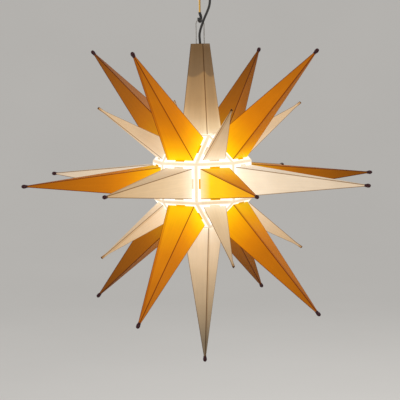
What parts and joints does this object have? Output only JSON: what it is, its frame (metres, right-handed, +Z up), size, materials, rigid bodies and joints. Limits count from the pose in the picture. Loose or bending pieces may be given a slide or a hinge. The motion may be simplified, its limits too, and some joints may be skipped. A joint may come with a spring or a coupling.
{
  "type": "moravian star pendant",
  "caption": "Lit star pendant: long white and yellow hollow points on a hub of flat frames, hung by a wire bail from a ceiling hook with a cable beside it.",
  "frame": {"origin": "middle of the two screw holes on the ceiling bracket's upper face, on the ceiling", "axes": "+Z up to the ceiling; +X from the hook's rod to the side where the cable leaves the ceiling cup; the star's axial points lie along X, Y and Z"},
  "size_m": [0.6802, 0.6802, 0.7321],
  "materials": {
    "white_sheet": "thin translucent sheet, lit from inside, cream near the hub and tan at the ends",
    "yellow_sheet": "thin translucent sheet, lit from inside, golden near the hub and deep orange at the ends",
    "frame_white": "thin translucent white sheet, very bright because the lamp is close behind it",
    "clip_steel": "bent spring steel",
    "cap_maroon": "dark maroon plastic",
    "black_plastic": "black moulded plastic",
    "zinc_steel": "zinc plated",
    "cable_black": "smooth black sheath",
    "holder_black": "black thermoset",
    "brass": "bright drawn wire and turned brass",
    "holder_ceramic": "white insulating floor",
    "nickel": "nickel plated cap",
    "bulb_glass": "frosted, lit",
    "wire_steel": "plain drawn wire",
    "cup_white": "white enamel",
    "terminal_white": "moulded"
  },
  "bodies": {
    "ceiling_fitting": {"ceiling_bracket": "zinc_steel", "ceiling_cup": "cup_white", "cup_nut": "brass", "ceiling_hook": "brass", "hook_sleeve": "black_plastic", "hook_lock_nuts": "zinc_steel", "terminal_block": "terminal_white", "terminal_screws": "zinc_steel", "ceiling_cord_grip": "black_plastic", "ceiling_lead": "cable_black", "cable_upper": "cable_black"},
    "bail": {"wire_bail": "wire_steel", "cable_lower": "cable_black"},
    "lamp_hanger": {"hanging_point": "white_sheet", "hanger_plug": "black_plastic", "stem_tube": "zinc_steel", "stem_nuts": "zinc_steel", "star_cord_grip": "black_plastic", "lamp_lead": "cable_black", "lampholder_cap": "holder_black", "lampholder_skirt": "holder_black", "lampholder_thread_shell": "brass", "lampholder_contact": "holder_ceramic"},
    "bulb_screw_cap": {"bulb_cap": "nickel", "bulb_tip": "nickel"},
    "bulb_glass": {"bulb_globe": "bulb_glass"},
    "star_shell": {"top_frame": "frame_white", "bottom_frame": "frame_white", "belt_frames": "frame_white", "upper_square_frames": "frame_white", "lower_square_frames": "frame_white", "upper_triangle_frames": "frame_white", "lower_triangle_frames": "frame_white", "frame_clips": "clip_steel", "tip_caps": "cap_maroon", "white_point_right": "white_sheet", "white_point_back": "white_sheet", "white_point_left": "white_sheet", "white_point_front": "white_sheet", "short_point_upper_back_right": "white_sheet", "short_point_lower_back_right": "white_sheet", "short_point_upper_back_left": "white_sheet", "short_point_lower_back_left": "white_sheet", "short_point_upper_front_left": "white_sheet", "short_point_lower_front_left": "white_sheet", "short_point_upper_front_right": "white_sheet", "short_point_lower_front_right": "white_sheet", "white_point_bottom": "white_sheet", "yellow_point_back_right": "yellow_sheet", "yellow_point_back_left": "yellow_sheet", "yellow_point_front_left": "yellow_sheet", "yellow_point_front_right": "yellow_sheet", "yellow_point_upper_right": "yellow_sheet", "yellow_point_lower_right": "yellow_sheet", "yellow_point_upper_back": "yellow_sheet", "yellow_point_lower_back": "yellow_sheet", "yellow_point_upper_left": "yellow_sheet", "yellow_point_lower_left": "yellow_sheet", "yellow_point_upper_front": "yellow_sheet", "yellow_point_lower_front": "yellow_sheet"}
  },
  "joints": [
    {"name": "hook_swing", "type": "hinge", "parent": "ceiling_fitting", "child": "bail", "pos_m": [0, 0, -0.0923], "axis": [0, 1, 0], "range_deg": [-22, 22], "deforming": ["cable_upper"]},
    {"name": "star_tilt", "type": "hinge", "parent": "bail", "child": "lamp_hanger", "pos_m": [0, 0, -0.15893], "axis": [1, 0, 0], "range_deg": [-14, 14], "deforming": ["cable_lower"]},
    {"name": "star_off", "type": "slide", "parent": "lamp_hanger", "child": "star_shell", "axis": [0, 0, -1], "range_m": [0, 0.13]},
    {"name": "bulb_travel", "type": "slide", "parent": "lamp_hanger", "child": "bulb_screw_cap", "axis": [0, 0, -1], "range_m": [0, 0.01974]},
    {"name": "bulb_turn", "type": "hinge", "parent": "bulb_screw_cap", "child": "bulb_glass", "pos_m": [0, 0, -0.347], "axis": [0, 0, -1], "range_deg": [0, 2521]}
  ],
  "couplings": [
    {"joint": "bulb_turn", "follows": "bulb_travel", "rad_per_m": 2228.1}
  ]
}
